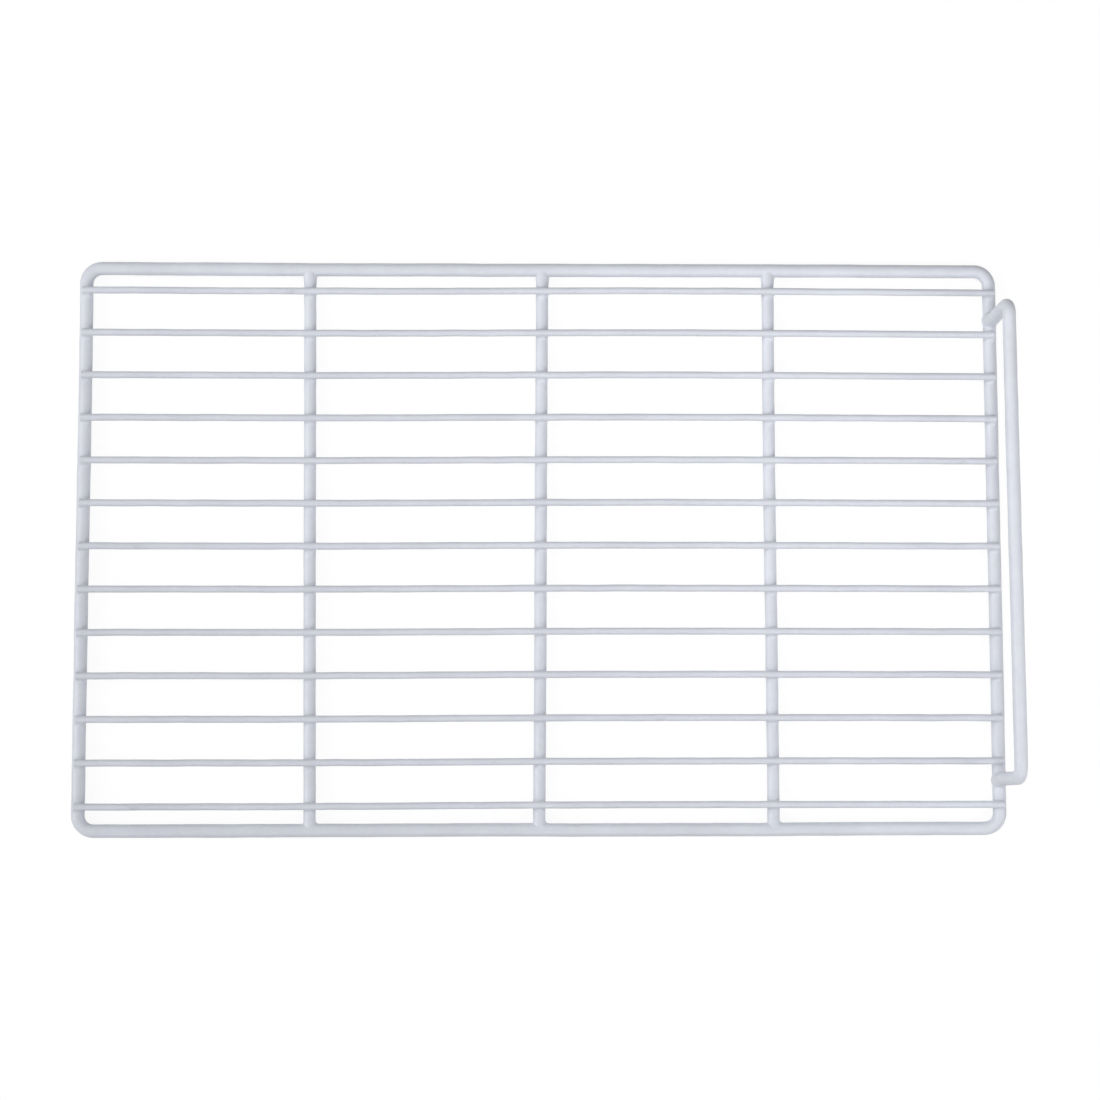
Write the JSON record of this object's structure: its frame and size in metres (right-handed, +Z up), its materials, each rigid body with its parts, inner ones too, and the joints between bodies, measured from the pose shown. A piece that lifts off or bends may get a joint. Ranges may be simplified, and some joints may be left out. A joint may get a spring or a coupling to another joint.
{
  "type": "refrigerator shelf",
  "caption": "Flat rectangular shelf of coated wire on a bent rod frame with cross bars, and a raised stop bar bridging its rear edge; slides on side runners.",
  "frame": {"origin": "middle of the rim frame, at the level of the underside that slides on the runners", "axes": "+X from the front rail to the rear rail that carries the stop, +Y across the shelf, +Z up"},
  "size_m": [0.533, 0.33, 0.05],
  "materials": {
    "white_coat": "satin"
  },
  "bodies": {
    "root": {"rim_frame": "white_coat", "cross_bar_1": "white_coat", "cross_bar_2": "white_coat", "cross_bar_3": "white_coat", "shelf_wire_01": "white_coat", "shelf_wire_02": "white_coat", "shelf_wire_03": "white_coat", "shelf_wire_04": "white_coat", "shelf_wire_05": "white_coat", "shelf_wire_06": "white_coat", "shelf_wire_07": "white_coat", "shelf_wire_08": "white_coat", "shelf_wire_09": "white_coat", "shelf_wire_10": "white_coat", "shelf_wire_11": "white_coat", "shelf_wire_12": "white_coat", "shelf_wire_13": "white_coat", "rear_stop": "white_coat"}
  },
  "joints": []
}
